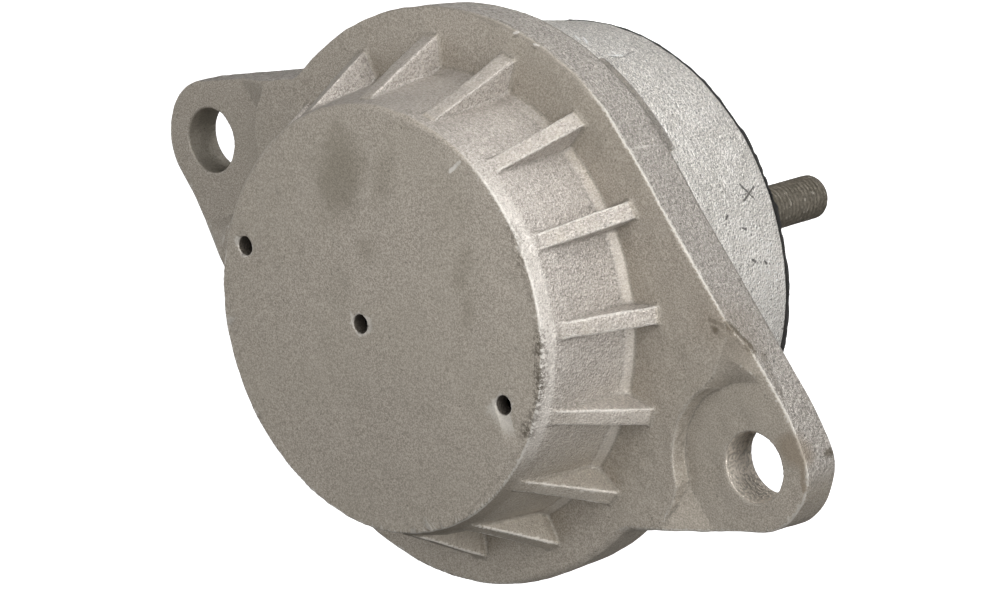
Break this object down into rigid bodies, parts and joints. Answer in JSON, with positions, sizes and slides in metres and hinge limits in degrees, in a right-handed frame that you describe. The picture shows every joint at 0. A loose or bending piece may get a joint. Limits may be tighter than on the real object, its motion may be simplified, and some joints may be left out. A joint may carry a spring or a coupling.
{
  "type": "hydraulic engine mount",
  "caption": "Round fluid-damped engine mount: ribbed cast cup with a two-ear flange, a tapered ring round a bonded rubber spring, and a long threaded stud.",
  "frame": {"origin": "on the mount's axis, in the plane of the ears' seat faces", "axes": "+Z along the axis out of the closed end of the cup, so the stud points along -Z; +X from the axis to one of the two ears"},
  "size_m": [0.217, 0.1428, 0.1687],
  "materials": {
    "cast_aluminium": "shot-blasted raw die casting, matt, with darker smudges",
    "ring_aluminium": "bright, finely crinkled",
    "black_rubber": "matt moulded, with flash at the rim",
    "core_steel": "dull, lightly oiled",
    "stud_steel": "dull olive-grey coated thread",
    "plate_aluminium": "die-cast, satin",
    "soft_rubber": "matt"
  },
  "bodies": {
    "housing_side": {"housing": "cast_aluminium", "outer_ring": "ring_aluminium", "rubber_spring": "black_rubber", "upper_channel_plate": "plate_aluminium", "lower_channel_plate": "plate_aluminium", "decoupler_membrane": "soft_rubber", "bellows": "soft_rubber"},
    "engine_side": {"core": "core_steel", "stud": "stud_steel"}
  },
  "joints": [
    {"name": "spring_travel", "type": "slide", "parent": "housing_side", "child": "engine_side", "axis": [0, 0, 1], "range_m": [-0.006, 0.004], "stiffness_N_per_m": 150000, "deforming": ["rubber_spring"]}
  ]
}
